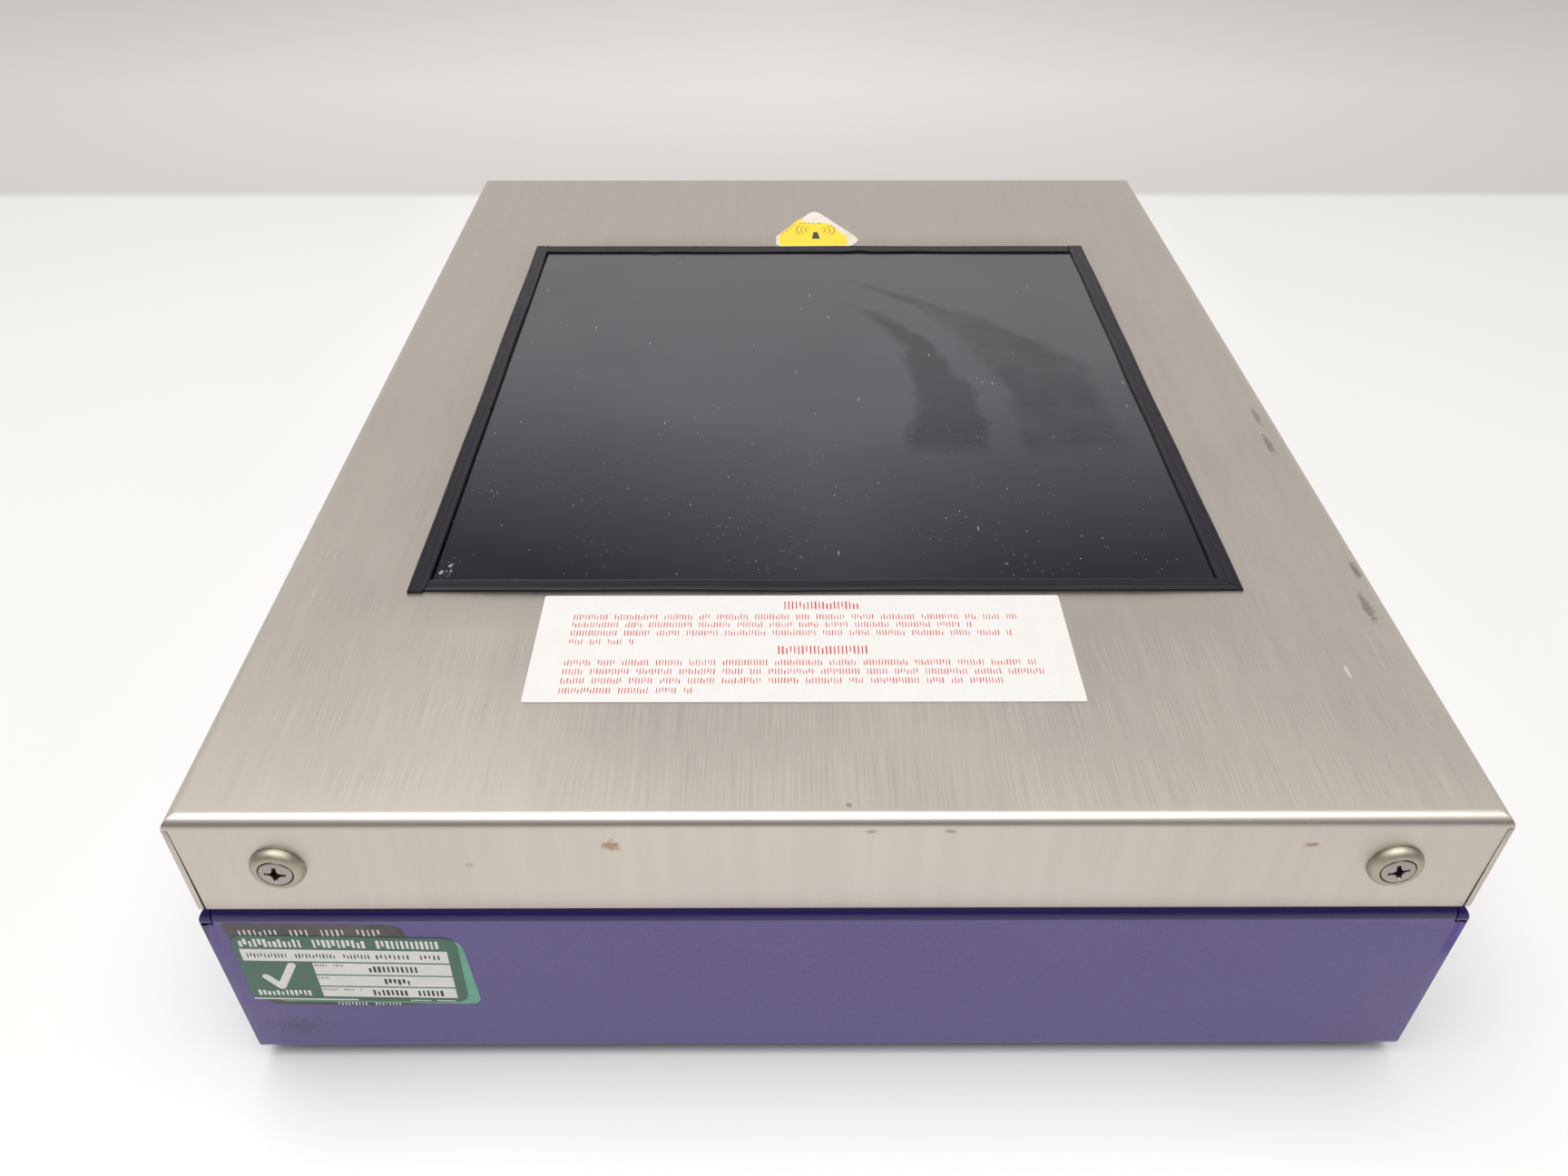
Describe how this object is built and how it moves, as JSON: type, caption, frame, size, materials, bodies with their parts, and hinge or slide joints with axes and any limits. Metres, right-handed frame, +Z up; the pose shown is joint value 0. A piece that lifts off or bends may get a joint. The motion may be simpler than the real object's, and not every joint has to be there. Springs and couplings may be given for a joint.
{
  "type": "ultraviolet transilluminator",
  "caption": "Bench ultraviolet transilluminator: a folded stainless cover with a black filter window, screwed to a purple powder-coated base with lamps inside.",
  "frame": {"origin": "on the resting plane, under the middle of the footprint", "axes": "+Z up, +Y to the rear wall with the mains inlet, +X to the right seen from the front"},
  "size_m": [0.2814, 0.3681, 0.0889],
  "materials": {
    "purple_powder_coat": "fine orange-peel powder coat",
    "brushed_stainless": "brushed, grain front to back",
    "filter_glass": "polished black ultraviolet-pass glass",
    "black_edging": "satin extruded edging",
    "nickel_plate": "satin nickel plate",
    "zinc_plate": "bright zinc plate",
    "foot_rubber": "matt moulded rubber",
    "lamp_glass": "clear tube glass with aluminium caps",
    "white_nylon": "moulded",
    "polished_aluminium": "mirror polished sheet",
    "ballast_steel": "grey painted can",
    "black_plastic": "satin moulded",
    "fuse_glass": "glass with nickel end caps",
    "loom_sleeve": "braided sleeve",
    "white_label": "printed vinyl",
    "yellow_label": "printed vinyl, worn",
    "green_label": "printed laminated vinyl"
  },
  "bodies": {
    "root": {"base_tray": "purple_powder_coat", "top_cover": "brushed_stainless", "filter_glass": "filter_glass", "filter_clamp_left": "zinc_plate", "filter_clamp_right": "zinc_plate", "lamp_bracket_front": "zinc_plate", "lamp_bracket_rear": "zinc_plate", "reflector": "polished_aluminium", "iec_inlet": "black_plastic", "wiring_loom": "loom_sleeve", "warning_label": "white_label", "uv_label": "yellow_label", "test_label": "green_label", "edge_trim_front": "black_edging", "edge_trim_back": "black_edging", "edge_trim_left": "black_edging", "edge_trim_right": "black_edging", "cover_screw_front_left": "nickel_plate", "screw_cup_front_left": "nickel_plate", "rivet_nut_front_left": "zinc_plate", "foot_front_left": "foot_rubber", "cover_screw_front_right": "nickel_plate", "screw_cup_front_right": "nickel_plate", "rivet_nut_front_right": "zinc_plate", "foot_front_right": "foot_rubber", "cover_screw_rear_left": "nickel_plate", "screw_cup_rear_left": "nickel_plate", "rivet_nut_rear_left": "zinc_plate", "foot_rear_left": "foot_rubber", "cover_screw_rear_right": "nickel_plate", "screw_cup_rear_right": "nickel_plate", "rivet_nut_rear_right": "zinc_plate", "foot_rear_right": "foot_rubber", "uv_lamp_1": "lamp_glass", "lamp_holder_front_1": "white_nylon", "lamp_holder_rear_1": "white_nylon", "uv_lamp_2": "lamp_glass", "lamp_holder_front_2": "white_nylon", "lamp_holder_rear_2": "white_nylon", "uv_lamp_3": "lamp_glass", "lamp_holder_front_3": "white_nylon", "lamp_holder_rear_3": "white_nylon", "uv_lamp_4": "lamp_glass", "lamp_holder_front_4": "white_nylon", "lamp_holder_rear_4": "white_nylon", "uv_lamp_5": "lamp_glass", "lamp_holder_front_5": "white_nylon", "lamp_holder_rear_5": "white_nylon", "uv_lamp_6": "lamp_glass", "lamp_holder_front_6": "white_nylon", "lamp_holder_rear_6": "white_nylon", "ballast_1": "ballast_steel", "ballast_2": "ballast_steel", "ballast_3": "ballast_steel", "power_switch_body": "black_plastic", "intensity_switch_body": "black_plastic"},
    "fuse_drawer": {"fuse_drawer": "black_plastic", "fuse": "fuse_glass"},
    "power_rocker": {"power_rocker": "black_plastic"},
    "intensity_rocker": {"intensity_rocker": "black_plastic"}
  },
  "joints": [
    {"name": "power_rocker_tip", "type": "hinge", "parent": "root", "child": "power_rocker", "pos_m": [0.05, 0.1806, 0.032], "axis": [1, 0, 0], "range_deg": [0, 16]},
    {"name": "intensity_rocker_tip", "type": "hinge", "parent": "root", "child": "intensity_rocker", "pos_m": [0.02, 0.1806, 0.032], "axis": [1, 0, 0], "range_deg": [0, 16]},
    {"name": "fuse_drawer_slide", "type": "slide", "parent": "root", "child": "fuse_drawer", "axis": [0, 1, 0], "range_m": [0, 0.018]}
  ]
}
